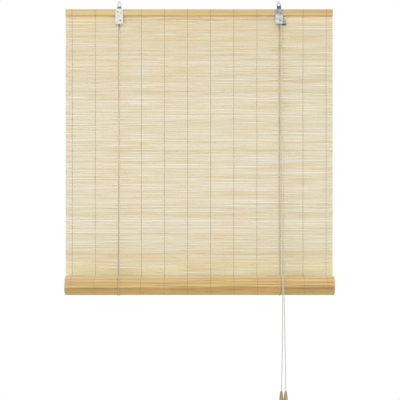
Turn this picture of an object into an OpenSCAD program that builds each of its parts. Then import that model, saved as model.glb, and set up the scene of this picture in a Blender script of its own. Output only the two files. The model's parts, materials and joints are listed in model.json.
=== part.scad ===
// Bamboo roll-up blind: a reed mat hangs from a wooden rail and is partly rolled up in two cord slings.
// The origin is midway between the two hanging eyes. +X is right, -Y faces the room, +Z is up.

/* [Mat] */
// Width of the mat, the length of one reed
mat_w = 800; // [600:5:1200]
// Length of mat that hangs between the rail and the roll
hang_drop = 806; // [400:2:1200]
// Distance from one reed to the next
reed_pitch = 4.5; // [4:0.1:7]
// Thickness of a reed, front to back
reed_t = 1.8; // [1.4:0.1:2.4]
// Thickness of the mat in the groove between two reeds
web_t = 0.6; // [0.4:0.1:0.9]
// Height of the bevel from a reed's face down into the groove
reed_bevel = 0.7; // [0.4:0.05:1]
// Height of an open gap between two reeds
reed_gap = 1.3; // [0.5:0.05:1.35]
// Distance from the side of the mat to the outermost warp thread
selvedge = 19.4; // [12:0.1:30]
// Width of a warp thread
thread_w = 1; // [0.6:0.1:1.6]
// Thickness of a warp thread
thread_t = 0.7; // [0.4:0.1:0.9]

/* [Roll] */
// Outer radius of the roll
roll_r = 29.3; // [24:0.1:40]
// Distance from one turn of the roll to the next
layer_pitch = 3.6; // [3.2:0.1:5]
// Radius of the rod that the mat is wound on
core_r = 7; // [5:0.5:9]

/* [Head rail] */
// Height of the rail
rail_h = 19; // [15:0.5:30]
// Thickness of the rail, front to back
rail_t = 12; // [11.5:0.5:18]
// Radius of the rail's long edges
rail_edge_r = 2; // [1:0.25:4]

/* [Hangers] */
// Width of a hanger's plate
plate_w = 23; // [22:0.5:30]
// Length of the plate below the rail
plate_drop = 25.5; // [24:0.5:36]
// Thickness of the steel sheet
sheet_t = 1.2; // [0.8:0.1:1.5]
// Height of the eye's centre over the rail
eye_rise = 13.5; // [12.5:0.5:20]
// Outer radius of the hanging eye
eye_r = 6.6; // [5.6:0.1:7.5]
// Radius of the eye's narrower top
eye_tip_r = 3.4; // [2.6:0.1:4]
// Height of that top's centre over the eye's centre
eye_tip_rise = 7.6; // [6:0.1:10]
// Radius of the hole in the eye
eye_hole_r = 3.2; // [2:0.1:4.2]
// Radius of a nail's shank
nail_r = 0.8; // [0.6:0.1:1]
// Length of a nail under its head
nail_len = 11; // [7:0.5:12]
// Sideways reach of the bent wing on the lock hanger
wing_w = 11; // [7:0.5:13]

/* [Cords] */
// Diameter of a cord
cord_d = 2.2; // [1.8:0.1:2.4]
// Radius on which a cord's middle turns round a wheel
turn_r = 3; // [2.8:0.1:3.4]
// Height of the wheels' axles below the rail
axle_drop = 14.5; // [12:0.5:15]
// Radius of the axle journals
axle_r = 0.8; // [0.6:0.05:0.9]
// Largest radius of a tassel
tassel_r = 6.3; // [5:0.1:6.3]
// Length of a tassel
tassel_len = 32; // [24:1:44]
// Depth of the hollow under a tassel, where the knot sits
hollow_len = 12; // [10:0.5:16]

/* [Hidden] */
$fn = 64;
thread_count = 12;
thread_names = [for (i = [1:thread_count]) str("warp_thread_", i < 10 ? "0" : "", i)];

// Clearances: running fits, cords beside what they pass, and pieces that only lie close
run_fit = 0.05;
cord_clear = 0.3;
side_play = 0.1;
wheel_gap = 0.4;
lie_gap = 0.1;
cut_over = 1;

// Levels of the rail and the mat
rail_top = -eye_rise;
rail_bottom = rail_top - rail_h;
mat_top = rail_bottom - thread_t - lie_gap;
reed_count = floor(hang_drop / reed_pitch);
roll_z = mat_top - reed_count * reed_pitch;

// Depths of the rail, the mat and the roll
rail_front = -rail_t / 2;
rail_back = rail_t / 2;
mat_back = rail_back;
mat_front = mat_back - reed_t;
mat_mid = mat_back - reed_t / 2;
roll_y = mat_back - roll_r;

// Warp threads and the lift cords that run beside the third one from each side
thread_pitch = (mat_w - 2 * selvedge) / (thread_count - 1);
gap_end = 3;
gap_group = 3;
lift_thread = 3.5;
cord_beside = 3.2;
lift_x = lift_thread * thread_pitch - cord_beside;

// Hanger sheet: the plate lies on the thread in front of the rail, the neck slants back over the rail
plate_back = rail_front - thread_t - lie_gap;
plate_front = plate_back - sheet_t;
plate_bottom = rail_bottom - plate_drop;
eye_top = eye_tip_rise + eye_tip_r;
neck_inset = 0.3;
neck_w = 2 * (eye_r - neck_inset);
neck_start = 0.8;
neck_end = 0.4;
shoulder_rise = 4.5;
flange_start = 3;
flange_top = rail_bottom - flange_start;
flange_clear = 0.6;
flange_back = mat_front - thread_t - flange_clear;
corner_cut = 1;

// Nails, measured from the middle of the plate and the top of the rail
nail_spots = [[-4.5, -8], [4.5, -12.5]];
nail_head_r = 1.7;
nail_head_t = 0.7;
nail_tip = plate_front + nail_len;

// Wheels: a single one on the left and a double one on the right, both on the same level
cord_r = cord_d / 2;
groove_r = turn_r - cord_r - cord_clear;
groove_w = cord_d + 2 * cord_clear;
wheel_lip = 1.6;
wheel_r = turn_r + wheel_lip;
wheel_side = 1;
wheel_half = groove_w / 2 + wheel_side;
rim_flare = 0.7;
groove_land = 1.2;
groove_step = groove_w + groove_land;
axle_z = rail_bottom - axle_drop;
front_groove_y = plate_back + wheel_gap + wheel_half;
back_groove_y = front_groove_y + groove_step;
left_axle_x = -lift_x + turn_r;
right_axle_x = lift_x + turn_r;
pull_x = right_axle_x + turn_r;
rivet_head_r = 2.2;
rivet_head_t = 0.8;
rivet_end_r = 1.5;
rivet_end_t = 0.6;
rivet_shank_r = 1.5;

// Cam of the cord lock: its teeth face the cords, its tail hangs behind the wing and shows below it
cam_r = 2.2;
cam_x = pull_x + cord_r + cord_clear + cam_r;
cam_drop = 3.5;
cam_z = axle_z - cam_drop;
cam_front = front_groove_y - groove_w / 2;
cam_back = back_groove_y + wheel_half;
cam_collar_r = 1.1;
cam_teeth = 7;
teeth_from = 110;
teeth_over = 140;
tooth_depth = 0.35;
tail_front = back_groove_y - groove_w / 2;
tail_heel = 1.6;
tail_reach = 11.5;
tail_drop = 10;
tail_h = 3;

// Cord slings under the roll, and the strands in front of the mat and behind it
sling_r = roll_r + cord_clear + cord_r;
strand_back_y = roll_y + sling_r;
strand_front_y = roll_y - sling_r;
staple_drop = 9;
staple_z = rail_top - staple_drop;
staple_r = 0.7;
staple_half = cord_r + staple_r + lie_gap;
staple_leg = 6;
knot_r = 2;

// Free cords and their tassels: a bullet-shaped pull with a bore for the cord and a hollow for its knot
cord_sides = 8;
exit_lean = 0.3;
bore_r = cord_r + cord_clear;
tassel_rim = 0.7;
tassel_top_r = bore_r + tassel_rim;
tassel_steps = 8;
foot_h = 4;
foot_edge = 0.8;
hollow_r = 4;
tassel_knot_r = 3;

// Routes of the two free pull cords from the lock to their tassels: x, y and z, chosen by hand
route_a = [
    [245, -2, -75], [244.4, -8.5, -160], [244.3, -19.5, -320], [244.6, -32, -500], [245.6, -44, -680],
    [247, -54.2, -820], [247.4, -55, -850], [246.7, -56.5, -900], [245.9, -58.5, -960], [245.3, -60.5, -1020],
    [244.2, -62.3, -1080], [243.1, -63, -1120]];
route_b = [
    [245.8, -6, -75], [247.2, -12, -160], [249, -22, -320], [250.4, -34, -500], [250.6, -45, -680],
    [250.2, -54.2, -820], [250.4, -55, -850], [251.6, -56.5, -900], [252.8, -58.5, -960], [253.4, -60.5, -1020],
    [254.4, -62.3, -1080], [254.9, -63, -1120]];
tassel_a_at = [242.2, -63, -1148];
tassel_b_at = [255.1, -63, -1148];

// One reed's corners, as [depth from the mat's middle, distance along the mat]
function reed_side(out, s) = [
    [out * web_t / 2, s],
    [out * reed_t / 2, s + reed_bevel],
    [out * reed_t / 2, s + reed_pitch - reed_bevel]];
function reed_row(out, count) = concat(
    [for (i = [0:count - 1]) each reed_side(out, i * reed_pitch)],
    [[out * web_t / 2, count * reed_pitch]]);
function reversed(list) = [for (i = [len(list) - 1:-1:0]) list[i]];

// Angle, from the back of the roll, at which a given length of mat has been wound inwards
roll_mid_r = roll_r - reed_t / 2;
core_mid_r = core_r + cord_clear + reed_t / 2;
wound_len = PI * (roll_mid_r * roll_mid_r - core_mid_r * core_mid_r) / layer_pitch;
wound_count = floor(wound_len / reed_pitch);
function wound_angle(s) =
    360 / layer_pitch * (roll_mid_r - sqrt(roll_mid_r * roll_mid_r - layer_pitch * s / PI));
function wound_point(p) =
    let (a = wound_angle(p[1]), r = roll_mid_r - layer_pitch * a / 360 + p[0])
    [roll_y + r * cos(a), roll_z - r * sin(a)];

// Turns a flat drawing of depth and height into a bar along X, centred on x = 0
module bar(length) {
    translate([-length / 2, 0, 0])
        rotate([90, 0, 90])
            linear_extrude(length)
                children();
}

// Turns a flat drawing of width and height into a sheet from y0 to y1
module facing(y0, y1) {
    translate([0, y1, 0])
        rotate([90, 0, 0])
            linear_extrude(y1 - y0)
                children();
}

// A round pin along Y
module pin(x, z, r, y0, y1) {
    translate([x, y1, z])
        rotate([90, 0, 0])
            cylinder(r = r, h = y1 - y0);
}

module head_rail() {
    w = rail_t - 2 * rail_edge_r;
    h = rail_h - 2 * rail_edge_r;
    color("#dabf89")
        difference() {
            bar(mat_w)
                translate([0, (rail_top + rail_bottom) / 2]) {
                    square([rail_t, h], center = true);
                    square([w, rail_h], center = true);
                    for (y = [-w / 2, w / 2], z = [-h / 2, h / 2])
                        translate([y, z])
                            circle(rail_edge_r);
                }
            for (side = [-1, 1]) {
                for (spot = nail_spots)
                    pin(side * lift_x + spot[0], rail_top + spot[1], nail_r + run_fit,
                        rail_front - cut_over, nail_tip);
                for (leg = [-1, 1])
                    pin(side * lift_x + leg * staple_half, staple_z, staple_r + run_fit,
                        rail_back - staple_leg, rail_back + cut_over);
            }
        }
}

// Reeds as ridges of one wall. Between the outermost threads two gaps out of three are open.
module reed_mat() {
    gap_w = mat_w - 2 * (selvedge + gap_end * thread_w);
    outline = concat(reed_row(-1, reed_count), reversed(reed_row(1, reed_count)));
    color("#e3dabd")
        difference() {
            bar(mat_w)
                polygon([for (p = outline) [mat_mid + p[0], mat_top - p[1]]]);
            for (i = [1:reed_count - 1])
                if (i % gap_group != 0)
                    translate([0, mat_mid, mat_top - i * reed_pitch])
                        cube([gap_w, reed_t + cut_over, reed_gap], center = true);
        }
}

// The same reeds wound inwards from the back of the roll, one spiral
module rolled_mat() {
    outline = concat(reed_row(1, wound_count), reversed(reed_row(-1, wound_count)));
    color("#d8b984")
        bar(mat_w)
            polygon([for (p = outline) wound_point(p)]);
}

module bottom_rail() {
    color("#c9a878")
        translate([-mat_w / 2, roll_y, roll_z])
            rotate([0, 90, 0])
                cylinder(r = core_r, h = mat_w);
}

// One yarn: up the mat's face, round the rail and down the mat's back
module warp_thread(i) {
    color("#a89a80")
        translate([(i - (thread_count + 1) / 2) * thread_pitch, 0, 0])
            bar(thread_w)
                polygon([
                    [mat_front - thread_t, roll_z], [mat_front - thread_t, rail_bottom - thread_t],
                    [rail_front - thread_t, rail_bottom - thread_t],
                    [rail_front - thread_t, rail_top + thread_t],
                    [rail_back + thread_t, rail_top + thread_t], [rail_back + thread_t, roll_z],
                    [rail_back, roll_z], [rail_back, rail_top],
                    [rail_front, rail_top], [rail_front, rail_bottom],
                    [mat_front, rail_bottom], [mat_front, roll_z]]);
}

// Bent sheet seen from the side: plate, slanted neck over the rail, upright eye
module hanger_side_view() {
    eye_front = -sheet_t / 2;
    neck_low = rail_top + thread_t + neck_start;
    neck_high = neck_end - eye_r;
    slope = (neck_high - neck_low) / (eye_front - plate_front);
    under = sheet_t * (sqrt(1 + slope * slope) - slope);
    polygon([
        [plate_front, plate_bottom], [plate_front, neck_low], [eye_front, neck_high], [eye_front, eye_top],
        [-eye_front, eye_top], [-eye_front, neck_high - under], [plate_back, neck_low - under],
        [plate_back, plate_bottom]]);
}

// The same sheet seen from the front: pear-shaped eye, neck, shoulders and plate
module hanger_front_view() {
    half = plate_w / 2;
    neck = neck_w / 2;
    shoulder = rail_top - shoulder_rise / 2;
    lean = asin((eye_r - eye_tip_r) / eye_tip_rise);
    flank = [cos(lean), sin(lean)];
    tip_flank = [0, eye_tip_rise] + eye_tip_r * flank;
    circle(eye_r);
    translate([0, eye_tip_rise])
        circle(eye_tip_r);
    polygon([
        eye_r * flank, tip_flank, [-tip_flank[0], tip_flank[1]], [-eye_r * flank[0], eye_r * flank[1]]]);
    polygon([
        [-neck, 0], [neck, 0], [neck, shoulder + shoulder_rise], [half, shoulder],
        [half, plate_bottom + corner_cut], [half - corner_cut, plate_bottom],
        [corner_cut - half, plate_bottom], [-half, plate_bottom + corner_cut],
        [-half, shoulder], [-neck, shoulder + shoulder_rise]]);
}

// Stamped hanger at one eye, with its eye, nail holes and the hole of its axle
module hanger(x, axle_x) {
    difference() {
        translate([x, 0, 0])
            intersection() {
                bar(plate_w)
                    hanger_side_view();
                facing(plate_front - cut_over, sheet_t)
                    hanger_front_view();
            }
        pin(x, 0, eye_hole_r, -sheet_t, sheet_t);
        for (spot = nail_spots)
            pin(x + spot[0], rail_top + spot[1], nail_r + run_fit,
                plate_front - cut_over, plate_back + cut_over);
        pin(axle_x, axle_z, rivet_shank_r + run_fit, plate_front - cut_over, plate_back + cut_over);
    }
}

// Side wall folded back from a plate's edge; the inner one has a round hole for the cross cord
module flange(x, cord_hole) {
    difference() {
        translate([x - sheet_t / 2, plate_back - sheet_t / 2, plate_bottom + corner_cut])
            cube([sheet_t, flange_back - plate_back + sheet_t / 2, flange_top - plate_bottom - corner_cut]);
        if (cord_hole)
            translate([x - sheet_t, back_groove_y, axle_z + turn_r])
                rotate([0, 90, 0])
                    cylinder(r = cord_d, h = 2 * sheet_t);
    }
}

module pulley_bracket() {
    reach = (plate_w - sheet_t) / 2;
    color("#dfe2e1") {
        hanger(-lift_x, left_axle_x);
        flange(-lift_x - reach, false);
        flange(-lift_x + reach, true);
    }
}

// Lock hanger: one side wall, and on the outer side a triangular wing bent partly back
module lock_bracket() {
    reach = (plate_w - sheet_t) / 2;
    wing_depth = front_groove_y - plate_front;
    wing_run = sqrt(wing_w * wing_w + wing_depth * wing_depth);
    color("#c3cbd0")
        difference() {
            union() {
                hanger(lift_x, right_axle_x);
                flange(lift_x - reach, true);
                translate([lift_x + (plate_w - sheet_t) / 2, plate_front, 0])
                    rotate([0, 0, atan2(wing_depth, wing_w)])
                        facing(0, sheet_t)
                            polygon([
                                [0, flange_top], [wing_run, plate_bottom + 2 * corner_cut],
                                [wing_run, plate_bottom + corner_cut], [0, plate_bottom + corner_cut]]);
            }
            pin(cam_x, cam_z, axle_r + run_fit, plate_front - cut_over, plate_back + cut_over);
        }
}

module bracket_nails() {
    color("#b9bdbf")
        for (side = [-1, 1], spot = nail_spots) {
            x = side * lift_x + spot[0];
            z = rail_top + spot[1];
            pin(x, z, nail_r, plate_front - nail_head_t / 2, nail_tip - run_fit);
            pin(x, z, nail_head_r, plate_front - nail_head_t, plate_front);
        }
}

// Wire staple over the end of a back strand
module staple(x) {
    crown_y = strand_back_y + cord_r + lie_gap + staple_r;
    for (leg = [-1, 1]) {
        pin(x + leg * staple_half, staple_z, staple_r, rail_back - staple_leg + run_fit, crown_y);
        translate([x + leg * staple_half, crown_y, staple_z])
            sphere(staple_r);
    }
    translate([x - staple_half, crown_y, staple_z])
        rotate([0, 90, 0])
            cylinder(r = staple_r, h = 2 * staple_half);
}

module cord_staples() {
    color("#a9adaf")
        for (side = [-1, 1])
            staple(side * lift_x);
}

// Half section of a wheel with grooves at the given places along its axle
module wheel_section(grooves) {
    difference() {
        translate([axle_r + run_fit, grooves[0] - groove_w / 2 - wheel_side])
            square([
                wheel_r - axle_r - run_fit,
                grooves[len(grooves) - 1] - grooves[0] + groove_w + 2 * wheel_side]);
        for (g = grooves)
            polygon([
                [groove_r, g - groove_w / 2], [wheel_r, g - groove_w / 2 - rim_flare],
                [wheel_r + cut_over, g - groove_w / 2 - rim_flare],
                [wheel_r + cut_over, g + groove_w / 2 + rim_flare],
                [wheel_r, g + groove_w / 2 + rim_flare], [groove_r, g + groove_w / 2]]);
    }
}

// Grooves are measured along -Y from the axle's place
module wheel(x, grooves) {
    translate([x, 0, axle_z])
        rotate([90, 0, 0])
            rotate_extrude()
                wheel_section([for (g = reversed(grooves)) -g]);
}

module cord_pulley() {
    color("#ece8dc")
        wheel(left_axle_x, [back_groove_y]);
}

module lock_roller() {
    color("#d6bb7a")
        wheel(right_axle_x, [front_groove_y, back_groove_y]);
}

// Turned rivet: head, shank in the plate, collar up to the wheel, journal and closed end
module rivet(x, wheel_front, wheel_back) {
    pin(x, axle_z, rivet_head_r, plate_front - rivet_head_t, plate_front);
    pin(x, axle_z, rivet_shank_r, plate_front - rivet_head_t / 2, wheel_front - side_play);
    pin(x, axle_z, axle_r, plate_front, wheel_back + side_play + rivet_end_t);
    pin(x, axle_z, rivet_end_r, wheel_back + side_play, wheel_back + side_play + rivet_end_t);
}

module pulley_rivet() {
    color("#8d9193")
        rivet(left_axle_x, back_groove_y - wheel_half, back_groove_y + wheel_half);
}

module roller_rivet() {
    color("#8d9193")
        rivet(right_axle_x, front_groove_y - wheel_half, back_groove_y + wheel_half);
}

// Toothed cam beside the pull cords, and its tail
module lock_cam() {
    color("#6d7376")
        difference() {
            translate([cam_x, 0, cam_z]) {
                facing(cam_front, cam_back)
                    difference() {
                        circle(cam_r);
                        for (i = [0:cam_teeth - 1])
                            rotate(teeth_from + i * teeth_over / cam_teeth)
                                translate([cam_r, 0])
                                    circle(tooth_depth);
                    }
                facing(tail_front, cam_back)
                    polygon([
                        [0, cam_r], [cam_r, 0], [tail_reach, tail_h - tail_drop], [tail_reach, -tail_drop],
                        [-tail_heel, -tail_drop], [-tail_heel, 0]]);
            }
            pin(cam_x, cam_z, axle_r + run_fit, cam_front - cut_over, cam_back + cut_over);
        }
}

// Pin with a collar between the plate and the cam, and a closed end behind the cam
module cam_pin() {
    end_front = cam_back + side_play;
    color("#8d9193") {
        pin(cam_x, cam_z, axle_r, plate_front, end_front + rivet_end_t);
        pin(cam_x, cam_z, cam_collar_r, plate_back, cam_front - side_play);
        pin(cam_x, cam_z, rivet_end_r, end_front, end_front + rivet_end_t);
    }
}

// Part of a ring of cord round an axle along Y, from one angle over another, counted from +X towards +Z
module cord_bend(x, y, from, over) {
    translate([x, y, axle_z])
        rotate([90, 0, 0])
            rotate([0, 0, from])
                rotate_extrude(angle = over)
                    translate([turn_r, 0])
                        circle(cord_r);
}

module cross_cord() {
    color("#d8cdb4") {
        cord_bend(left_axle_x, back_groove_y, 90, 90);
        translate([left_axle_x, back_groove_y, axle_z + turn_r])
            rotate([0, 90, 0])
                cylinder(r = cord_r, h = right_axle_x - left_axle_x);
        cord_bend(right_axle_x, back_groove_y, 0, 90);
    }
}

module right_cord_turn() {
    color("#d8cdb4")
        cord_bend(right_axle_x, front_groove_y, 0, 180);
}

// Cord tube through points from top to bottom, with level rings of corners
function ring(p) = [
    for (k = [0:cord_sides - 1])
        p + cord_r * [cos(k * 360 / cord_sides), sin(k * 360 / cord_sides), 0]];
module cord_tube(route) {
    last = (len(route) - 1) * cord_sides;
    polyhedron(
        points = [for (p = route) each ring(p)],
        faces = concat(
            [[for (k = [0:cord_sides - 1]) k]],
            [for (j = [0:len(route) - 2], k = [0:cord_sides - 1])
                let (a = j * cord_sides, b = (k + 1) % cord_sides)
                [a + k, a + cord_sides + k, a + cord_sides + b, a + b]],
            [[for (k = [cord_sides - 1:-1:0]) last + k]]));
}

module left_front_strand() {
    color("#d8cdb4")
        cord_tube([[-lift_x, back_groove_y, axle_z], [-lift_x, strand_front_y, roll_z]]);
}

module right_front_strand() {
    color("#d8cdb4")
        cord_tube([[lift_x, front_groove_y, axle_z], [lift_x, strand_front_y, roll_z]]);
}

// Strand behind the mat, from the sling up past the staple to its knot
module back_strand(x) {
    knot_z = staple_z + staple_r + lie_gap + knot_r;
    color("#d8cdb4")
        translate([x, strand_back_y, 0]) {
            translate([0, 0, roll_z])
                cylinder(r = cord_r, h = knot_z - roll_z);
            translate([0, knot_r - cord_r, knot_z])
                sphere(knot_r);
        }
}

module left_back_strand() {
    back_strand(-lift_x);
}

module right_back_strand() {
    back_strand(lift_x);
}

// Half turn of cord under the roll
module sling(x) {
    color("#d8cdb4")
        translate([x, roll_y, roll_z])
            rotate([90, 0, 90])
                rotate([0, 0, 180])
                    rotate_extrude(angle = 180)
                        translate([sling_r, 0])
                            circle(cord_r);
}

module left_sling() {
    sling(-lift_x);
}

module right_sling() {
    sling(lift_x);
}

// A pull cord's way straight down out of the lock
function pull_exit(groove_y) = [[pull_x, groove_y, axle_z], [pull_x, groove_y - exit_lean, plate_bottom]];

module pull_cord_a() {
    color("#e6e3da")
        cord_tube(concat(pull_exit(back_groove_y), route_a, [tassel_a_at]));
}

module pull_cord_b() {
    color("#e6e3da")
        cord_tube(concat(pull_exit(front_groove_y), route_b, [tassel_b_at]));
}

// A pull's outline from its top down, a parabola that ends in a straight foot
function tassel_side(i) =
    let (t = i / tassel_steps)
    [tassel_top_r + t * (tassel_r - tassel_top_r), -t * t * (tassel_len - foot_h)];

module tassel(at) {
    color("#b08e63")
        translate(at)
            difference() {
                rotate_extrude()
                    polygon(concat(
                        [[0, 0]],
                        [for (i = [0:tassel_steps]) tassel_side(i)],
                        [[tassel_r, foot_edge - tassel_len], [tassel_r - foot_edge, -tassel_len],
                            [0, -tassel_len]]));
                translate([0, 0, -tassel_len - cut_over])
                    cylinder(r = bore_r, h = tassel_len + 2 * cut_over);
                translate([0, 0, -tassel_len - cut_over])
                    cylinder(r = hollow_r, h = hollow_len + cut_over);
            }
}

module tassel_a() {
    tassel(tassel_a_at);
}

module tassel_b() {
    tassel(tassel_b_at);
}

// Cord end inside a pull: the cord through the bore and its knot under the shoulder of the hollow
module tassel_knot(at) {
    knot_z = at[2] - tassel_len + hollow_len - lie_gap;
    color("#e6e3da")
        translate([at[0], at[1], 0]) {
            translate([0, 0, knot_z - tassel_knot_r])
                cylinder(r = cord_r, h = at[2] - knot_z + tassel_knot_r);
            translate([0, 0, knot_z - tassel_knot_r])
                sphere(tassel_knot_r);
        }
}

module tassel_knot_a() {
    tassel_knot(tassel_a_at);
}

module tassel_knot_b() {
    tassel_knot(tassel_b_at);
}

head_rail();
reed_mat();
rolled_mat();
bottom_rail();
for (i = [1:thread_count])
    warp_thread(i);
pulley_bracket();
lock_bracket();
bracket_nails();
cord_staples();
cord_pulley();
pulley_rivet();
lock_roller();
roller_rivet();
lock_cam();
cam_pin();
cross_cord();
right_cord_turn();
left_front_strand();
right_front_strand();
left_back_strand();
right_back_strand();
left_sling();
right_sling();
pull_cord_a();
pull_cord_b();
tassel_a();
tassel_b();
tassel_knot_a();
tassel_knot_b();
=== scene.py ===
import json
import math
import random

import bmesh
import bpy
from mathutils import Matrix, Vector, noise
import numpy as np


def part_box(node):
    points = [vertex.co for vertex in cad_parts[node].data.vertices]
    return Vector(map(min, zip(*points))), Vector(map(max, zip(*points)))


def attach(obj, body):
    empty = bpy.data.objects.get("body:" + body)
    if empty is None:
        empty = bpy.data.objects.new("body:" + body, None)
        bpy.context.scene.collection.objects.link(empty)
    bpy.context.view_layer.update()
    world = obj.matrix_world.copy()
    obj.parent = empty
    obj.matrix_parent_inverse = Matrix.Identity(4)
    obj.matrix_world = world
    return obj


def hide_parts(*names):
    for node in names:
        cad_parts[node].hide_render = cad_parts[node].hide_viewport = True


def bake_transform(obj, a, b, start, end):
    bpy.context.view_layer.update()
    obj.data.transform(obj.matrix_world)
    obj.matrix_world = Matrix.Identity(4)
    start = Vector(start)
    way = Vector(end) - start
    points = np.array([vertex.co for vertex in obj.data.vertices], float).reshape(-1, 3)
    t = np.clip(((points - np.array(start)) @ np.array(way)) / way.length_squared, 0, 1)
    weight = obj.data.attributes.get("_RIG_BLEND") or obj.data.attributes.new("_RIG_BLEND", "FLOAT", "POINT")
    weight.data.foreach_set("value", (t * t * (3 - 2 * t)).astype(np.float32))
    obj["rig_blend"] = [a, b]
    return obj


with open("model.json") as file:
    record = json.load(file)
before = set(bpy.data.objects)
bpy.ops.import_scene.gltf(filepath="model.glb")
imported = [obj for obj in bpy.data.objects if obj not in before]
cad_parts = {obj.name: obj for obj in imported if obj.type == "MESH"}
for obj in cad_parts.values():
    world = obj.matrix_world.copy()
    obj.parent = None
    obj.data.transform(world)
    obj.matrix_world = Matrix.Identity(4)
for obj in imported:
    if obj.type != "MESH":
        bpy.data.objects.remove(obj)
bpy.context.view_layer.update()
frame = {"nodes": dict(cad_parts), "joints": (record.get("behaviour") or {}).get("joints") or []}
mm = 0.001

# Head rail: a planed lath of pale softwood across the top, with eased long edges. The mat's yarns are
# looped round it and both hangers are nailed to its face. The rod in the roll is of the same wood, and
# on both the grain runs along the length.


def put(tree, kind, inputs, **settings):
    """Adds a shader node and returns its outputs. An input is a constant or another node's output."""
    made = tree.nodes.new("ShaderNode" + kind)
    for name, value in settings.items():
        setattr(made, name, value)
    for place, value in inputs.items():
        if isinstance(value, bpy.types.NodeSocket):
            tree.links.new(value, made.inputs[place])
        else:
            made.inputs[place].default_value = value
    return made.outputs


def maths(tree, operation, first, second=0.0, clamp=False):
    """One step of arithmetic."""
    return put(tree, "Math", {0: first, 1: second}, operation=operation, use_clamp=clamp)[0]


def summed(tree, *parts):
    """The sum of values, each times its own weight."""
    total = 0.0
    for value, weight in parts:
        total = put(tree, "Math", {0: value, 1: weight, 2: total}, operation="MULTIPLY_ADD")[0]
    return total


def mixed(tree, share, first, second, how="MIX"):
    """Two colours in one, with that share of the second."""
    return put(tree, "Mix", {0: share, 6: first, 7: second}, data_type="RGBA", blend_type=how)[2]


def ranged(tree, value, low, high, to_low=0.0, to_high=1.0):
    """A value between low and high, spread over another range and kept inside it."""
    return put(tree, "MapRange", {0: value, 1: low, 2: high, 3: to_low, 4: to_high})[0]


def raised(tree, height, distance, strength):
    """A normal for fine relief."""
    return put(tree, "Bump", {"Height": height, "Distance": distance, "Strength": strength})[0]


def new_group(name, inputs, outputs):
    """A shader node group with float inputs, but for Vector, and float outputs."""
    tree = bpy.data.node_groups.new(name, "ShaderNodeTree")
    for socket in inputs:
        kind = "NodeSocketVector" if socket == "Vector" else "NodeSocketFloat"
        tree.interface.new_socket(socket, in_out="INPUT", socket_type=kind)
    for socket in outputs:
        tree.interface.new_socket(socket, in_out="OUTPUT", socket_type="NodeSocketFloat")
    given = tree.nodes.new("NodeGroupInput").outputs
    taken = tree.nodes.new("NodeGroupOutput").inputs
    return tree, given, taken


def srgb(*levels):
    """A colour as it looks on screen, 0 to 255, as the linear colour that a socket takes."""
    parts = [c / 255 for c in levels]
    return [c / 12.92 if c <= 0.04045 else ((c + 0.055) / 1.055) ** 2.4 for c in parts] + [1.0]


def new_material(name, plain):
    """A material with one Principled shader. What is the same all over is set on the shader here."""
    made = bpy.data.materials.new(name)
    made.use_nodes = True
    shader = made.node_tree.nodes["Principled BSDF"]
    for socket, value in plain.items():
        shader.inputs[socket].default_value = value
    return made, made.node_tree, shader.inputs


def dress(slot, finish, *nodes):
    """Gives CAD nodes that stay as they are a finish."""
    for name in nodes:
        node = frame["nodes"][name]
        node.data.materials.clear()
        node.data.materials.append(finish)


# Streaks that run along X, as fibres do in bamboo and wood: fine ones, and broad clouds of tone.
fibres, given, taken = new_group("long_fibres", ["Vector", "Along", "Across"], ["Fibre", "Cloud"])
axes = put(fibres, "SeparateXYZ", {0: given["Vector"]})
drawn = put(fibres, "CombineXYZ", {
    0: maths(fibres, "MULTIPLY", axes[0], given["Along"]),
    1: maths(fibres, "MULTIPLY", axes[1], given["Across"]),
    2: maths(fibres, "MULTIPLY", axes[2], given["Across"])})[0]
fine = put(fibres, "TexNoise", {"Vector": drawn, "Scale": 1.0, "Detail": 5.0, "Roughness": 0.65})[0]
broad = put(fibres, "TexNoise", {"Vector": drawn, "Scale": 0.22, "Detail": 2.0, "Roughness": 0.5})[0]
fibres.links.new(ranged(fibres, fine, 0.3, 0.7), taken["Fibre"])
fibres.links.new(ranged(fibres, broad, 0.3, 0.7), taken["Cloud"])


def wood(name, pale, dark, along, across, upright=False, deepens=0.0):
    """Bare planed wood, with its grain along X, or along Z where it stands upright. Along and across are
    the grain's steps to the metre. The tone deepens along the grain by that share to the metre."""
    made, tree, shader = new_material(name, {"Specular IOR Level": 0.35})
    place = put(tree, "TexCoord", {})["Object"]
    if upright:
        place = put(tree, "Mapping", {"Vector": place, "Rotation": (0, math.radians(90), 0)})[0]
    grain = put(tree, "Group", {"Vector": place, "Along": along, "Across": across}, node_tree=fibres)
    along_grain = put(tree, "SeparateXYZ", {0: place})[0]
    depth = summed(tree, (grain["Fibre"], 0.45), (grain["Cloud"], 0.55), (along_grain, deepens))
    tree.links.new(mixed(tree, depth, pale, dark), shader["Base Color"])
    tree.links.new(ranged(tree, grain["Fibre"], 0, 1, 0.5, 0.68), shader["Roughness"])
    tree.links.new(raised(tree, grain["Fibre"], 0.12 * mm, 0.35), shader["Normal"])
    return made


rail_wood = wood("rail_wood", srgb(231, 205, 152), srgb(197, 161, 100), 5, 420, deepens=0.45)
dress("rail_wood", rail_wood, "head_rail", "bottom_rail")

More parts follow.
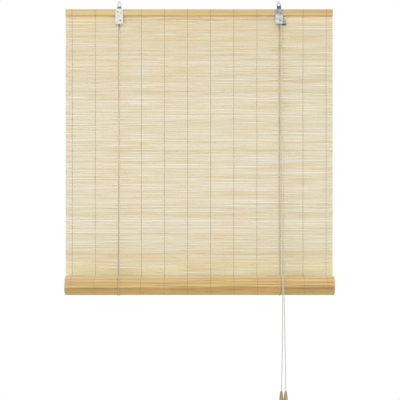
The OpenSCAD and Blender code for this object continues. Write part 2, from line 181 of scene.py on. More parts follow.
# Reed mat: split bamboo reeds laid side by side with a gap between each two, as one flat mat. Each reed
# is its own strip, a little crooked from yarn to yarn, with its own shade and the joints of the cane.
reed_pitch = 4.5 * mm
reed_height = 3.7 * mm
reed_edge = 0.55 * mm
height_spread = 0.08  # reeds differ in height by up to this share
reed_sway, sway_rows = 2.0 * mm, 8  # neighbours bend alike, by less in the first rows
reed_wobble, most_wobble = 0.24 * mm, 0.5 * mm  # each reed also bends by itself
reed_ripple = 0.06 * mm  # and isn't quite flat
end_reach, end_little = 0.8 * mm, 0.3 * mm  # its ends stand out, more often by a little
mat_low, mat_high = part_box("reed_mat")
reed_thick = mat_high.y - mat_low.y
mat_y = (mat_low.y + mat_high.y) / 2
reed_count = round((mat_high.z - mat_low.z) / reed_pitch)
yarn_nodes = [f"warp_thread_{i:02d}" for i in range(1, 13)]
yarn_x = [sum(corner.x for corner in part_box(name)) / 2 for name in yarn_nodes]

reed_blank = bmesh.new()
bmesh.ops.create_cube(reed_blank, size=1, matrix=Matrix.Diagonal(
    (mat_high.x - mat_low.x, reed_thick, reed_height, 1)))
long_edges = [e for e in reed_blank.edges if abs(e.verts[0].co.x - e.verts[1].co.x) > reed_thick]
bmesh.ops.bevel(reed_blank, geom=long_edges, offset=reed_edge, segments=1, profile=0.5,
                affect="EDGES", material=-1)
for x in yarn_x:
    whole_reed = reed_blank.verts[:] + reed_blank.edges[:] + reed_blank.faces[:]
    bmesh.ops.bisect_plane(reed_blank, geom=whole_reed, plane_co=(x, 0, 0), plane_no=(1, 0, 0))
stations = [mat_low.x] + yarn_x + [mat_high.x]
station_of = [min(range(len(stations)), key=lambda k: abs(stations[k] - v.co.x)) for v in reed_blank.verts]

free_shade = 0.9  # reeds of any shade get one from 0 to this


def chosen_shade(k):
    """The shade of a reed that gets one of its bamboo's chosen tones, the first at 1."""
    return 1 - 0.03 * k


def show(name, mesh, finish):
    """A finished mesh as an object of the scene, smooth but for its sharp corners."""
    mesh.materials.append(finish)
    mesh.shade_smooth()
    mesh.set_sharp_from_angle(angle=math.radians(50))
    made = bpy.data.objects.new(name, mesh)
    bpy.context.scene.collection.objects.link(made)
    return made


def lay_reeds(name, finish, seed, rows):
    """One mesh of reeds. A row is a reed's place, its height as a share of the usual one, and its shade,
    or None for any shade. At every yarn a reed is off its line, partly with its neighbours. Its shade and
    the place of its joint are attributes of the mesh."""
    rng = random.Random(seed)
    whole, mesh = bmesh.new(), bpy.data.meshes.new(name)
    shades, joints = [], []
    for row, (place, fill, shade) in enumerate(rows):
        reed = reed_blank.copy()
        tall = fill * rng.uniform(1 - height_spread, 1 + height_spread)
        most_sway = reed_sway * min(1, row / sway_rows)
        sway = [most_sway * noise.noise(Vector((k * 0.87, row * 0.17, seed))) for k in range(len(stations))]
        bends = []
        for _ in stations:
            ripple = rng.gauss(0, reed_ripple)
            bends.append((ripple, max(-most_wobble, min(most_wobble, rng.gauss(0, reed_wobble)))))
        ends = [abs(rng.uniform(-end_reach, end_little)) for _ in range(2)]
        for v, k in zip(reed.verts, station_of):
            v.co.y += bends[k][0]
            v.co.z = v.co.z * tall + bends[k][1] + sway[k]
            if k in (0, len(stations) - 1):
                v.co.x += math.copysign(ends[k > 0], v.co.x)
        bmesh.ops.transform(reed, matrix=place, verts=reed.verts)
        reed.to_mesh(mesh)
        whole.from_mesh(mesh)
        any_shade, joint = rng.uniform(0, free_shade), rng.uniform(mat_low.x, mat_high.x)
        shades += [any_shade if shade is None else shade] * len(station_of)
        joints += [joint] * len(station_of)
        reed.free()
    whole.to_mesh(mesh)
    whole.free()
    for label, values in (("shade", shades), ("joint", joints)):
        mesh.attributes.new(label, "FLOAT", "POINT").data.foreach_set("value", values)
    return show(name, mesh, finish)


def ramped(tree, value, stops):
    """The colour for a value, from places and colours in order, the first at 0 and the last at 1."""
    ramp = put(tree, "ValToRGB", {0: value})[0]
    elements = ramp.node.color_ramp.elements
    elements[0].color, elements[1].color = stops[0][1], stops[-1][1]
    for place, colour in stops[1:-1]:
        elements.new(place).color = colour
    return ramp


def bamboo(name, tones, chosen, warm):
    """Split cane: one shade to a reed, warmer patches, fine fibres along it, and a darker ring where the
    cane had a joint. The tones are for reeds of any shade, the chosen ones for reeds with a given one;
    these chosen tones are painted light and shade."""
    made, tree, shader = new_material(name, {"Specular IOR Level": 0.4})
    place = put(tree, "TexCoord", {})["Object"]
    shade = put(tree, "Attribute", {}, attribute_name="shade")["Fac"]
    joint = put(tree, "Attribute", {}, attribute_name="joint")["Fac"]
    stops = [(free_shade * k / (len(tones) - 1), tone) for k, tone in enumerate(tones)]
    stops += [(chosen_shade(k), tone) for k, tone in enumerate(chosen)][::-1]
    patch = put(tree, "TexNoise", {"Vector": place, "Scale": 7.0, "Detail": 2.0})[0]
    tone = mixed(tree, ranged(tree, patch, 0.42, 0.68, 0, 0.5), ramped(tree, shade, stops), warm)
    apart = put(tree, "CombineXYZ", {0: maths(tree, "MULTIPLY", shade, 37.0)})[0]
    moved = put(tree, "VectorMath", {0: place, 1: apart}, operation="ADD")[0]
    grain = put(tree, "Group", {"Vector": moved, "Along": 15, "Across": 3000}, node_tree=fibres)
    along = put(tree, "SeparateXYZ", {0: place})[0]
    off_joint = maths(tree, "ABSOLUTE", maths(tree, "SUBTRACT", along, joint))
    ring = ranged(tree, off_joint, 0.6 * mm, 3.5 * mm, 1, 0)
    depth = summed(tree, (grain["Fibre"], 0.34), (grain["Cloud"], 0.16))
    depth = maths(tree, "MAXIMUM", depth, maths(tree, "MULTIPLY", ring, 0.45))
    tree.links.new(mixed(tree, depth, tone, srgb(174, 146, 96)), shader["Base Color"])
    tree.links.new(ranged(tree, grain["Fibre"], 0, 1, 0.42, 0.62), shader["Roughness"])
    height = summed(tree, (grain["Fibre"], 1.0), (ring, 2.0))
    tree.links.new(raised(tree, height, 0.1 * mm, 0.4), shader["Normal"])
    return made


def shortens(piece, lower, top, bottom):
    """The piece hangs from the head and closes up evenly as the lower body rises: its top stays and
    its bottom goes along."""
    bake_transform(piece, "head", lower, top, bottom)
    reach = Vector(bottom) - Vector(top)
    for v, share in zip(piece.data.vertices, piece.data.attributes["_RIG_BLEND"].data):
        share.value = max(0, min(1, (v.co - Vector(top)).dot(reach) / reach.length_squared))


# The chosen tones are painted light: the reeds just under the rail, and those just above the roll, are paler
# and warmer against the shade that the rail and the roll cast on the mat.
reed_bamboo = bamboo(
    "reed_bamboo",
    [srgb(236, 226, 190), srgb(242, 234, 204), srgb(227, 218, 181), srgb(239, 224, 185)],
    [srgb(255, 236, 192), srgb(253, 237, 194), srgb(255, 249, 202)], srgb(240, 217, 174))
top_lift, lifted_rows = 1.1 * mm, 8  # the topmost reeds are pulled up against the rail
painted_light_top_rows = 4  # and are painted paler and warmer, as light against the shade under the rail
close_top, close_foot = 50, 45  # in so many rows at both ends the reeds get higher
closing = 0.13  # by up to this share
painted_light_foot_rows, painted_light_steps = 19, 12  # the last rows are painted paler, as light against the roll's shade, and get so row by row
mat_rows = []
for i in range(reed_count):
    from_foot = reed_count - 1 - i
    lift = top_lift * max(0, 1 - i / lifted_rows)
    close = max(0, 1 - i / close_top, 1 - from_foot / close_foot)
    shade = None
    if i < painted_light_top_rows:
        shade = chosen_shade(min(i, 1))
    if from_foot < painted_light_foot_rows:
        painted_light_share = min(1, (painted_light_foot_rows - from_foot) / painted_light_steps)
        shade = free_shade + (chosen_shade(2) - free_shade) * painted_light_share
    place = Matrix.Translation((0, mat_y, mat_high.z - (i + 0.5) * reed_pitch + lift))
    mat_rows.append((place, 1 + closing * close, shade))
mat = lay_reeds("mat_reeds", reed_bamboo, 11, mat_rows)
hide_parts("reed_mat")
shortens(mat, "slings", (0, mat_y, mat_high.z), (0, mat_y, mat_low.z))

# Warp yarns: twelve cotton yarns that hold the reeds. Each goes up the mat, in front of one reed and
# behind the next, round the head rail, and down again crosswise, so that the two runs grip every reed
# between them.
yarn_r = 0.45 * mm
yarn_sides = 4
yarn_off = 0.75 * yarn_r  # a yarn is pressed a little into what it lies on
yarn_bow = reed_thick / 2 + yarn_off
yarn_drift, yarn_lean = 0.9 * mm, 0.25 * mm  # it wanders, and leans over between the reeds
rail_low, rail_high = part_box("head_rail")


def length_of(route):
    """The length of a way from point to point."""
    return sum((Vector(b) - Vector(a)).length for a, b in zip(route, route[1:]))


def tubes(name, finish, radius, sides, routes):
    """Round cords along lists of points, as one mesh with closed ends. A route that ends beside its start
    is a ring. U on the mesh goes up to the length of the longest cord in metres."""
    curve = bpy.data.curves.new(name, "CURVE")
    curve.dimensions = "3D"
    curve.bevel_depth = radius
    curve.bevel_resolution = sides // 2 - 2
    curve.use_fill_caps = True
    for route in routes:
        spline = curve.splines.new("POLY")
        spline.points.add(len(route) - 1)
        spline.use_cyclic_u = (Vector(route[-1]) - Vector(route[0])).length < radius
        for point, place in zip(spline.points, route):
            point.co = (*place, 1)
    holder = bpy.data.objects.new(name, curve)
    mesh = bpy.data.meshes.new_from_object(holder)
    bpy.data.objects.remove(holder)
    bpy.data.curves.remove(curve)
    mesh.name = name
    joined = bmesh.new()
    joined.from_mesh(mesh)
    bmesh.ops.remove_doubles(joined, verts=joined.verts, dist=0.001 * mm)
    joined.to_mesh(mesh)
    joined.free()
    longest = max(length_of(route) for route in routes)
    for corner in mesh.uv_layers[0].data:
        corner.uv.x *= longest
    return show(name, mesh, finish)


# Strands laid round a cord: two sets that cross in a braid, or one set where the cross share is 0. The
# groove is where shade is painted.
braid, given, taken = new_group("cord_strands", ["Vector", "Strands", "Lay", "Cross"], ["Height", "Groove"])
axes = put(braid, "SeparateXYZ", {0: given["Vector"]})
steps = maths(braid, "DIVIDE", axes[0], given["Lay"])
turns = maths(braid, "MULTIPLY", axes[1], given["Strands"])
one_way, other_way = [
    maths(braid, "SINE", maths(braid, "MULTIPLY", maths(braid, hand, turns, steps), math.tau))
    for hand in ("ADD", "SUBTRACT")]
crossed = maths(braid, "MULTIPLY", one_way, other_way)
either = put(braid, "Mix", {0: given["Cross"], 2: one_way, 3: crossed}, data_type="FLOAT")[0]
height = ranged(braid, either, -1, 1)
braid.links.new(height, taken["Height"])
braid.links.new(ranged(braid, height, 0.0, 0.45, 1, 0), taken["Groove"])


def spun(name, pale, dark, strands, lay, cross, fuzz, depth, painted_shade_and_tints=()):
    """Cotton or other spun fibre: strands round the cord by its own length, with painted shade in the
    grooves.
    The tints are a list of heights, from the top down, each with a tint for the cord there: painted shadow
    in some places, in others only a greyer tone."""
    made, tree, shader = new_material(name, {"Specular IOR Level": 0.15, "Roughness": 0.85,
                                             "Sheen Weight": 0.25, "Sheen Roughness": 0.5})
    place = put(tree, "TexCoord", {})
    laid = put(tree, "Group", {"Vector": place["UV"], "Strands": strands, "Lay": lay, "Cross": cross},
               node_tree=braid)
    spots = put(tree, "TexNoise", {"Vector": place["Object"], "Scale": fuzz, "Detail": 3.0})[0]
    shade = summed(tree, (laid["Groove"], 0.55), (ranged(tree, spots, 0.4, 0.7), 0.45))
    tone = mixed(tree, shade, pale, dark)
    if painted_shade_and_tints:
        top, bottom = painted_shade_and_tints[0][0], painted_shade_and_tints[-1][0]
        level = put(tree, "SeparateXYZ", {0: place["Object"]})[2]
        tints = [((top - height) / (top - bottom), tint) for height, tint in painted_shade_and_tints]
        tone = mixed(tree, 1.0, tone, ramped(tree, ranged(tree, level, top, bottom), tints), "MULTIPLY")
    tree.links.new(tone, shader["Base Color"])
    tree.links.new(raised(tree, laid["Height"], depth, 0.8), shader["Normal"])
    return made


def twined(x, side, seed):
    """One run of a yarn down the mat: it changes from face to face in each gap, and wanders a little."""
    run = []
    for i in range(reed_count):
        for part in (0.1, 0.36, 0.64, 0.9):
            z = mat_high.z - (i + part) * reed_pitch
            beat = math.pi * (i + part)
            face = max(-1, min(1, 1.7 * side * math.sin(beat)))
            drift = yarn_drift * noise.noise(Vector((seed * 7.3, z * 14, 0)))
            run.append((x + drift + yarn_lean * side * math.cos(beat), mat_y - yarn_bow * face, z))
    return run


yarn_cotton = spun("yarn_cotton", srgb(172, 158, 126), srgb(132, 116, 84),
                   strands=2, lay=1.6 * mm, cross=0.0, fuzz=60, depth=0.15 * mm)
front, back = rail_low.y - yarn_off, rail_high.y + yarn_off
under, over = rail_low.z - yarn_off, rail_high.z + yarn_off
ease = 1.2 * mm
for i, (node, x) in enumerate(zip(yarn_nodes, yarn_x)):
    loop = [(x, mat_y - yarn_bow, under), (x, front + ease, under), (x, front, under + ease),
            (x, front, over - ease), (x, front + ease, over), (x, back - ease, over),
            (x, back, over - ease), (x, back, under)]
    yarn = tubes(f"warp_yarn_{i + 1:02d}", yarn_cotton, yarn_r, yarn_sides,
                 [twined(x, 1, i)[::-1] + loop + twined(x, -1, i)])
    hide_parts(node)
    shortens(yarn, "slings", (x, mat_y, mat_high.z), (x, mat_y, mat_low.z))

# Rolled mat: the lower part of the same mat, wound from the back, under and up the front, on the bottom
# rail. Its reeds lie turn on turn, so that nothing shows through, and its outer turn carries the same
# twelve yarns.
turn_pitch = 3.6 * mm
roll_shift = 1.5 * mm  # the turns have crept to the right
roll_skew = math.radians(0.34)  # and climb a little to that side
skew_turn = math.radians(90)  # by a skew that grows over the first quarter turn
roll_fill = 1.12  # the wound reeds lie closer than the hanging ones
core_low, core_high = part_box("bottom_rail")
roll_y, roll_z = (core_low.y + core_high.y) / 2, (core_low.z + core_high.z) / 2
first_r = mat_y - roll_y
last_r = (core_high.z - core_low.z) / 2 + reed_thick
wound_length = math.pi * (first_r ** 2 - last_r ** 2) / turn_pitch
wound_count = int(wound_length / reed_pitch)
outer_count = int(math.tau * first_r / reed_pitch)


def wound_at(length):
    """Angle and radius of the winding, that far along the mat from where it leaves the flat."""
    angle = math.tau / turn_pitch * (first_r - math.sqrt(first_r ** 2 - turn_pitch * length / math.pi))
    return angle, first_r - turn_pitch * angle / math.tau


def on_roll(x, length, lift):
    """A point that far along the winding, lifted that much off the middle of the mat."""
    angle, radius = wound_at(length)
    return x, roll_y + (radius + lift) * math.cos(angle), roll_z - (radius + lift) * math.sin(angle)


# The chosen tones paint light and shade on the outer turn of the roll: a paler top where the light falls, a
# greyer underside, and a dark orange and a tan band just below its front.
rolled_bamboo = bamboo(
    "rolled_bamboo",
    [srgb(236, 204, 144), srgb(242, 214, 158), srgb(226, 192, 128), srgb(238, 200, 130)],
    [srgb(198, 152, 82), srgb(252, 227, 176), srgb(200, 176, 120), srgb(216, 178, 112)],
    srgb(238, 196, 122))
roll_light_bands = [(95, 152, 2), (152, 164, 0), (164, 174, 3), (232, 275, 1)]  # degrees of the outer turn, and the chosen tone painted there as its light and shade
roll_rows = []
for i in range(wound_count):
    middle = (i + 0.5) * reed_pitch
    angle = wound_at(middle)[0]
    shade = next((chosen_shade(k) for low, high, k in roll_light_bands if low < math.degrees(angle) < high), None)
    turned = Matrix.Rotation(-angle, 4, "X")
    skewed = Matrix.Rotation(roll_skew * min(1, angle / skew_turn), 4, "Y")
    moved = Matrix.Translation(on_roll(roll_shift, middle, 0))
    roll_rows.append((moved @ turned @ skewed, roll_fill, shade))
rolled = lay_reeds("rolled_reeds", rolled_bamboo, 23, roll_rows)
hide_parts("rolled_mat")
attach(rolled, "roll")
roll_drift = 0.6 * mm


def over_reeds(x, seed):
    """A yarn's way round the outer turn: high over each reed, low in each gap, and wandering a little."""
    run = []
    for i in range(outer_count):
        drift = roll_drift * noise.noise(Vector((seed * 5.1, i * 0.3, 9)))
        for part in (0.05, 0.35, 0.65, 0.95):
            lift = yarn_bow * min(1, 0.35 + 1.4 * math.sin(math.pi * part))
            run.append(on_roll(x + drift, (i + part) * reed_pitch, lift))
    return run


rolled_yarns = tubes("rolled_yarns", yarn_cotton, yarn_r, yarn_sides,
                     [over_reeds(x, k) for k, x in enumerate(yarn_x)])
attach(rolled_yarns, "roll")

# Hangers: two plates stamped from zinc-plated sheet steel, with a bent neck that ends in a hanging eye
# and side flanges that carry the wheels. They are nailed to the rail. The left one is new and bright, the
# right one mottled. Both have painted shade at the neck, and the right one dark bluish painted
# reflections on its upper part.
worn_edge = 0.1 * mm

# Uneven plating: soft mottling, fine scratches that run one way, and specks.
plating, given, taken = new_group("uneven_plating", ["Vector"], ["Mottle", "Scratch", "Speck"])
place = given["Vector"]
cloudy = put(plating, "TexNoise", {"Vector": place, "Scale": 130.0, "Detail": 4.0, "Roughness": 0.6})[0]
drawn = put(plating, "Mapping", {"Vector": place, "Scale": (2500, 900, 90), "Rotation": (0, 0.3, 0)})[0]
lines = put(plating, "TexNoise", {"Vector": drawn, "Scale": 1.0, "Detail": 3.0})[0]
spots = put(plating, "TexVoronoi", {"Vector": place, "Scale": 420.0})[0]
plating.links.new(ranged(plating, cloudy, 0.35, 0.65), taken["Mottle"])
plating.links.new(ranged(plating, lines, 0.55, 0.75), taken["Scratch"])
plating.links.new(ranged(plating, spots, 0.05, 0.2, 1, 0), taken["Speck"])


def metal(name, pale, dark, rough, mottle, painted_tone=None, bands=()):
    """Plated or bare metal. Bands are heights, half widths and depths of the zones painted in another,
    darker tone, as shade and dark reflections.
    """
    made, tree, shader = new_material(name, {"Metallic": 1.0})
    place = put(tree, "TexCoord", {})["Object"]
    coat = put(tree, "Group", {"Vector": place}, node_tree=plating)
    shade = summed(tree, (coat["Mottle"], mottle), (coat["Speck"], 0.25))
    tone = mixed(tree, shade, pale, dark)
    level = put(tree, "SeparateXYZ", {0: place})[2]
    for height, half, depth in bands:
        off = maths(tree, "ABSOLUTE", maths(tree, "SUBTRACT", level, height))
        spread = ranged(tree, coat["Mottle"], 0, 1, 0.7 * depth, depth)
        share = maths(tree, "MULTIPLY", ranged(tree, off, 0.5 * half, half, 1, 0), spread)
        tone = mixed(tree, share, tone, painted_tone)
    tree.links.new(tone, shader["Base Color"])
    tree.links.new(ranged(tree, coat["Scratch"], 0, 1, rough, rough + 0.2), shader["Roughness"])
    tree.links.new(raised(tree, coat["Mottle"], 0.05 * mm, 0.25), shader["Normal"])
    return made


def soften(*nodes):
    """Worn edges on CAD nodes: loose triangles are joined to flat faces, and a small bevel breaks the
    corners."""
    for name in nodes:
        node = frame["nodes"][name]
        weld = node.modifiers.new("weld", "WELD")
        weld.merge_threshold = worn_edge / 50
        flats = node.modifiers.new("flats", "DECIMATE")
        flats.decimate_type = "DISSOLVE"
        flats.angle_limit = math.radians(0.5)
        edge = node.modifiers.new("edge", "BEVEL")
        edge.width = worn_edge
        edge.segments = 2
        edge.limit_method = "ANGLE"
        edge.angle_limit = math.radians(40)


# The bands are painted shade and reflection: the left hanger darker at its bent neck and a little over its
# eye, the right one darker at its neck and, as dark bluish reflections, over the upper part of its plate.
bright_zinc = metal(
    "bright_zinc", srgb(179, 176, 168), srgb(152, 153, 147), 0.34, 0.6, srgb(124, 136, 128),
    [(-8.5 * mm, 5 * mm, 0.85), (4 * mm, 12 * mm, 0.35)])
mottled_zinc_painted_reflection = metal(
    "mottled_zinc_painted_reflection", srgb(172, 175, 169), srgb(130, 135, 132), 0.36, 0.8, srgb(68, 76, 84),
    [(-4.6 * mm, 3.6 * mm, 1.0), (-10.4 * mm, 2.4 * mm, 0.8), (-20 * mm, 13 * mm, 0.55)])
dress("bright_steel", bright_zinc, "pulley_bracket")
dress("bright_steel", mottled_zinc_painted_reflection, "lock_bracket")
soften("pulley_bracket", "lock_bracket")

# Nails, rivets, pin and staples: plain steel wire, headed or bent, and dulled by age. The nails hold the
# hangers on the rail, the rivets are the wheels' axles, the pin is the cam's, and the staples at the back
# hold the ends of the lift cords.
dull_steel = metal("dull_steel", srgb(88, 93, 90), srgb(62, 66, 62), 0.42, 0.8)
dress("dull_steel", dull_steel, "bracket_nails", "pulley_rivet", "roller_rivet", "cam_pin", "cord_staples")

# Wheels: the left one is a moulded nylon pulley, the right one a turned brass roller with two grooves.
# Both run on their rivets behind the hangers, and the cords lie in their grooves.
nylon, tree, shader = new_material("pulley_nylon", {"Subsurface Weight": 0.1, "Specular IOR Level": 0.45})
place = put(tree, "TexCoord", {})["Object"]
smears = put(tree, "TexNoise", {"Vector": place, "Scale": 260.0, "Detail": 3.0})[0]
tree.links.new(mixed(tree, smears, srgb(236, 232, 220), srgb(206, 200, 184)), shader["Base Color"])
tree.links.new(ranged(tree, smears, 0.3, 0.7, 0.35, 0.55), shader["Roughness"])
dress("pulley_plastic", nylon, "cord_pulley")
brass = metal("roller_brass", srgb(214, 182, 106), srgb(164, 128, 66), 0.28, 0.7)
dress("roller_brass", brass, "lock_roller")
soften("cord_pulley", "lock_roller")

# Lock cam: a toothed piece of phosphated steel on a pin in the right hanger, with a tail that hangs below
# the wing. Its teeth bite the pull cords, and it swings back when the cords are drawn to the side.
phosphate = metal("phosphated_steel", srgb(96, 98, 92), srgb(60, 62, 58), 0.5, 0.8)
dress("cam_steel", phosphate, "lock_cam")

# Lift cords: two braided cotton cords. Each comes down from its wheel in front of the mat, goes under the
# roll and up behind to a knot over its staple. The left one also runs across under the rail to the right
# hanger.
cord_r = 1.1 * mm
cord_sides = 10
cord_step = 6 * mm
wheel_drop = 7 * mm  # how far below its axle a cord hangs clear of its wheel
knot_inset = 2 * mm  # how far an end knot lies in from the top and back of its strand
end_knot = 1.7 * mm
roll_rise = next(joint["range_m"][1] for joint in frame["joints"] if joint["name"] == "roll_lift")
wheel_low, wheel_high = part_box("cord_pulley")
roller_low, roller_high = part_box("lock_roller")
left_axle = ((wheel_low.x + wheel_high.x) / 2, 0, (wheel_low.z + wheel_high.z) / 2)
right_axle = ((roller_low.x + roller_high.x) / 2, 0, left_axle[2])
bend_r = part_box("cross_cord")[1].z - cord_r - left_axle[2]
turn_y = sum(corner.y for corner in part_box("right_cord_turn")) / 2
staple_z = sum(corner.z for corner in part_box("cord_staples")) / 2

shadowed_z, untinted_z, grey_z = -60 * mm, -82 * mm, -260 * mm  # painted shadow under the hangers, full above the first and gone by the second; no tint between the last two
roll_top_z = roll_z + first_r + 7.4 * mm  # where a cord comes to the roll
# Tints change over this height at the roll.
tint_edge = 6 * mm
# A white tint leaves the cord as it is.
untinted = srgb(255, 255, 255)


def braided(name, pale, dark, painted_shade_and_tints=()):
    """The cotton of a lift or pull cord, which is a round braid."""
    return spun(name, pale, dark, strands=4, lay=3.2 * mm, cross=1.0, fuzz=45, depth=0.35 * mm, painted_shade_and_tints=painted_shade_and_tints)


def straight(start, end):
    """Points along a straight run, both ends included."""
    start, end = Vector(start), Vector(end)
    count = max(2, round((end - start).length / cord_step))
    return [tuple(start.lerp(end, k / count)) for k in range(count + 1)]


def arc(centre, radius, first, last, sideways):
    """Points on an arc from first to last in degrees, along the blind's width, or else along its depth."""
    count = max(6, round(abs(last - first) / 7.5))
    x, y, z = centre
    points = []
    for k in range(count + 1):
        angle = math.radians(first + (last - first) * k / count)
        out, up = radius * math.cos(angle), radius * math.sin(angle)
        points.append((x + out, y, z + up) if sideways else (x, y + out, z + up))
    return points


def drawn_round(top, foot, radius, rise):
    """Points of a lift cord in front of the mat, with the slight bow that it needs to still lie on the
    roll, and not cut it, when the roll is drawn up: straight from the wheel to where it then meets the
    roll, and round it from there."""
    fall, ahead = top[2] - foot[2], top[1] - foot[1] - radius
    left = fall - rise
    tangent = math.sqrt(ahead ** 2 + left ** 2 - radius ** 2)
    slope = math.atan2(ahead, left) + math.atan2(radius, tangent)
    meets = (top[0], top[1] - tangent * math.sin(slope), top[2] - tangent * math.cos(slope) * fall / left)
    bends = arc((top[0], foot[1] + radius, 0), radius, 180 - math.degrees(slope), 180, False)
    return straight(top, meets)[:-1] + [(x, y, foot[2] + z * fall / left) for x, y, z in bends]


def knotted(centre, size, count=36):
    """Points of an overhand knot, drawn tight, about that centre."""
    ways = [math.tau * k / count for k in range(count)]
    return [(centre[0] + size * (math.sin(a) + 2 * math.sin(2 * a)) / 3,
             centre[1] + size * (math.cos(a) - 2 * math.cos(2 * a)) / 3,
             centre[2] - size * math.sin(3 * a) * 0.6) for a in ways]


# The run across under the rail and the turn in the right hanger are painted darker and warmer than the lift
# cord that they belong to, as the shade under the rail and the light that the wood throws back.
shade_and_bounce_cotton = braided("shade_and_bounce_cotton", srgb(228, 205, 163), srgb(188, 161, 120))
# Tints by height for the lift cords: a painted shadow just under the hangers, none below that, greyer
# towards the roll, and on the left cord a little darker over the roll. Being untinted high up leaves them
# paler there, as painted light against the shade close to the mat.
left_cotton = braided("left_cotton", srgb(248, 234, 202), srgb(202, 184, 148), [
    (shadowed_z, srgb(165, 142, 116)), (untinted_z, untinted), (grey_z, untinted),
    (roll_top_z, srgb(166, 161, 152)), (roll_top_z - tint_edge, srgb(222, 208, 184))])
right_cotton = braided("right_cotton", srgb(228, 212, 178), srgb(182, 162, 126), [
    (shadowed_z, srgb(158, 134, 108)), (untinted_z, untinted), (grey_z, untinted),
    (roll_top_z, srgb(182, 177, 168)), (roll_top_z - tint_edge, untinted)])
run_z = left_axle[2] + bend_r
cross = tubes("cross_run", shade_and_bounce_cotton, cord_r, cord_sides, [
    arc(left_axle, bend_r, 180, 90, True)
    + straight((left_axle[0], 0, run_z), (right_axle[0], 0, run_z))[1:-1]
    + arc(right_axle, bend_r, 90, 0, True)])
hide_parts("cross_cord")
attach(cross, "head")
turn = tubes("right_turn", shade_and_bounce_cotton, cord_r, cord_sides, [
    arc((right_axle[0], turn_y, right_axle[2]), bend_r, 180, 0, True)])
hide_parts("right_cord_turn")
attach(turn, "head")
for side, cotton in (("left", left_cotton), ("right", right_cotton)):
    low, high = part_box(f"{side}_front_strand")
    x = (low.x + high.x) / 2
    top, foot = (x, high.y - cord_r, high.z), (x, low.y + cord_r, low.z)
    leaves = (x, top[1], top[2] - wheel_drop)
    sling_low, sling_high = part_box(f"{side}_sling")
    sling_r = (sling_high.y - sling_low.y) / 2 - cord_r
    strand = tubes(f"{side}_front_cord", cotton, cord_r, cord_sides, [
        straight(top, leaves)[:-1] + drawn_round(leaves, foot, sling_r, roll_rise)])
    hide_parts(f"{side}_front_strand")
    shortens(strand, "slings", leaves, foot)
    sling = tubes(f"{side}_sling_cord", cotton, cord_r, cord_sides, [
        arc((x, (sling_low.y + sling_high.y) / 2, sling_high.z), sling_r, 180, 360, False)])
    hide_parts(f"{side}_sling")
    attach(sling, "slings")
    low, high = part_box(f"{side}_back_strand")
    knot_at = (x, high.y - knot_inset, high.z - knot_inset)
    top, foot = (x, low.y + cord_r, knot_at[2]), (x, low.y + cord_r, low.z)
    strand = tubes(f"{side}_back_cord", cotton, cord_r, cord_sides, [
        straight(foot, top), knotted(knot_at, end_knot)])
    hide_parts(f"{side}_back_strand")
    shortens(strand, "slings", (x, top[1], staple_z), foot)

# Pull cords: the free ends of the two lift cords, which leave the right hanger side by side, lie over the
# front of the roll and hang down to the pulls. Each ends in a knot inside its pull. They are the same
# braid, paler high up, as painted light against the shade close to the mat, greyer further down, and a
# neutral grey where they hang free.
pull_knot = 1.8 * mm
span_parts = 10
pale_z, greyed_z = -320 * mm, -640 * mm  # untinted above, greyer from the second down to the roll
roll_foot_z = roll_z - first_r - 0.8 * mm  # where a pull cord leaves the roll
# Tints for the pull cords: greyer down to the roll, nearly none over it, and a neutral grey where they hang
# free.
greyer_tint, over_roll_tint, hanging_tint = srgb(232, 236, 236), srgb(246, 246, 251), srgb(213, 225, 254)
# High up the pull cords are untinted, which leaves them paler there, as painted light against the shade
# close to the mat.
pull_cotton = braided("pull_cotton", srgb(240, 227, 198), srgb(200, 186, 156), [
    (pale_z, untinted), (greyed_z, greyer_tint), (roll_top_z, greyer_tint), (roll_top_z - tint_edge, over_roll_tint),
    (roll_foot_z, over_roll_tint), (roll_foot_z - tint_edge, hanging_tint)])
pull_routes = {
    "a": [(245, 0, -47), (245, -0.3, -58), (245, -2, -75), (244.4, -8.5, -160), (244.3, -19.5, -320),
          (244.6, -32, -500), (245.6, -44, -680), (247, -54.2, -820), (247.4, -55, -850),
          (246.7, -56.5, -900), (245.9, -58.5, -960), (245.3, -60.5, -1020), (244.2, -62.3, -1080),
          (243.1, -63, -1120), (242.2, -63, -1148)],
    "b": [(245, -4, -47), (245, -4.3, -58), (245.8, -6, -75), (247.2, -12, -160), (249, -22, -320),
          (250.4, -34, -500), (250.6, -45, -680), (250.2, -54.2, -820), (250.4, -55, -850),
          (251.6, -56.5, -900), (252.8, -58.5, -960), (253.4, -60.5, -1020), (254.4, -62.3, -1080),
          (254.9, -63, -1120), (255.1, -63, -1148)],
}


def eased(points, parts):
    """More points on one smooth curve through those given."""
    points = [Vector(point) for point in points]
    ends = [2 * points[0] - points[1]] + points + [2 * points[-1] - points[-2]]
    smooth = []
    for before, a, b, after in zip(ends, ends[1:], ends[2:], ends[3:]):
        span = (b - a).length
        lead = (b - before) / ((a - before).length + span) * span
        trail = (after - a) / ((after - b).length + span) * span
        for k in range(parts):
            t = k / parts
            smooth.append(tuple(a * (1 + 2 * t) * (1 - t) ** 2 + b * t * t * (3 - 2 * t)
                                + lead * t * (1 - t) ** 2 - trail * t * t * (1 - t)))
    return smooth + [tuple(points[-1])]


for end, route in pull_routes.items():
    path = eased([tuple(c * mm for c in point) for point in route], span_parts)
    pull = tubes(f"pull_line_{end}", pull_cotton, cord_r, cord_sides, [path])
    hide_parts(f"pull_cord_{end}")
    shortens(pull, f"tassel_{end}", path[span_parts], path[-1])
    x, y = path[-1][:2]
    bore_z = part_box(f"tassel_{end}")[1].z
    knot_low, knot_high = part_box(f"tassel_knot_{end}")
    knot_at = (x, y, knot_low.z + (knot_high.x - knot_low.x) / 2)
    knot = tubes(f"pull_knot_{end}", pull_cotton, cord_r, cord_sides, [
        straight((x, y, bore_z), knot_at), knotted(knot_at, pull_knot)])
    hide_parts(f"tassel_knot_{end}")
    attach(knot, f"tassel_{end}")

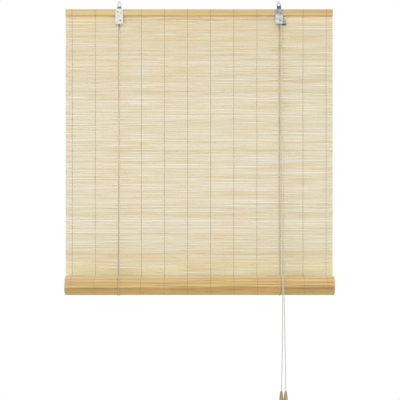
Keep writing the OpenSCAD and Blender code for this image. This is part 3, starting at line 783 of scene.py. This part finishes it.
# Pulls: two bullet-shaped tassels turned from hardwood, bored for the cord and hollowed below for its
# knot. They are stained tan-brown, and the grain stands upright.
tassel_wood = wood("tassel_wood", srgb(196, 171, 129), srgb(132, 105, 70), 9, 700, upright=True)
dress("tassel_wood", tassel_wood, "tassel_a", "tassel_b")

# Room: a pale floor below the pulls at their lowest, plain white all round, a large soft lamp in front and
# a weaker one behind. Further out the floor fades to the room's white.
floor_z, floor_half = -2.75, 9
fade_from, fade_to = 1.0, 6.0
floor_glow = 0.12
room_light, room_white = 0.68, 1.0  # the light that the room gives, and how it looks
ground = bmesh.new()
bmesh.ops.create_grid(ground, x_segments=1, y_segments=1, size=floor_half,
                      matrix=Matrix.Translation((0, 0, floor_z)))
floor_mesh = bpy.data.meshes.new("floor")
ground.to_mesh(floor_mesh)
ground.free()
floor_paint, tree, shader = new_material("floor_paint", {"Roughness": 0.7, "Emission Color": (1, 1, 1, 1)})
place = put(tree, "TexCoord", {})["Object"]
dust = put(tree, "TexNoise", {"Vector": place, "Scale": 4.0, "Detail": 4.0})[0]
paint = mixed(tree, dust, srgb(252, 252, 250), srgb(247, 247, 245))
level = put(tree, "Mapping", {"Vector": place, "Scale": (1, 1, 0)})[0]
away = put(tree, "VectorMath", {0: level}, operation="LENGTH")["Value"]
seen = put(tree, "LightPath", {})["Is Camera Ray"]
fade = maths(tree, "MULTIPLY", ranged(tree, away, fade_from, fade_to), seen)
glow = maths(tree, "MAXIMUM", fade, maths(tree, "MULTIPLY", seen, floor_glow))
tree.links.new(mixed(tree, fade, paint, (0, 0, 0, 1)), shader["Base Color"])
tree.links.new(glow, shader["Emission Strength"])
floor_mesh.materials.append(floor_paint)
floor = bpy.data.objects.new("floor", floor_mesh)
bpy.context.scene.collection.objects.link(floor)

world = bpy.data.worlds.new("white_room")
bpy.context.scene.world = world
world.use_nodes = True
tree = world.node_tree
rays = put(tree, "LightPath", {})
seen = maths(tree, "ADD", maths(tree, "ADD", rays["Is Camera Ray"], rays["Is Glossy Ray"]),
             rays["Is Transmission Ray"], clamp=True)
strength = ranged(tree, seen, 0, 1, room_light, room_white)
tree.links.new(strength, tree.nodes["Background"].inputs["Strength"])
tree.nodes["Background"].inputs["Color"].default_value = (1, 1, 1, 1)


def lamp(name, place, aim, size, watts):
    """A square soft box, turned to shine at a point."""
    light = bpy.data.lights.new(name, "AREA")
    light.size = size
    light.energy = watts
    made = bpy.data.objects.new(name, light)
    made.location = place
    made.rotation_euler = (Vector(aim) - Vector(place)).to_track_quat("-Z", "Y").to_euler()
    bpy.context.scene.collection.objects.link(made)


lamp_aim = (0, 0, -0.45)
lamp("key", (-0.9, -4.0, 0.6), lamp_aim, size=4.5, watts=77)
lamp("back", (1.4, 3.6, 0.9), lamp_aim, size=3.0, watts=36)

# Camera: square on to the blind, nearly four metres in front of the mat, a little right of its middle.
# What it sees at the mat is 1.2 metres wide, so that a pixel of the photograph is 3 millimetres there.
view_distance = 3.87
view_width = 1.2
view_x, view_z = 2.55 * mm, -584.4 * mm
camera = bpy.data.cameras.new("camera")
camera.sensor_width = 36
camera.lens = camera.sensor_width * view_distance / view_width
holder = bpy.data.objects.new("camera", camera)
holder.location = (view_x, mat_y - view_distance, view_z)
holder.rotation_euler = (math.radians(90), 0, 0)
bpy.context.scene.collection.objects.link(holder)
bpy.context.scene.camera = holder
bpy.context.scene.view_settings.view_transform = "Standard"
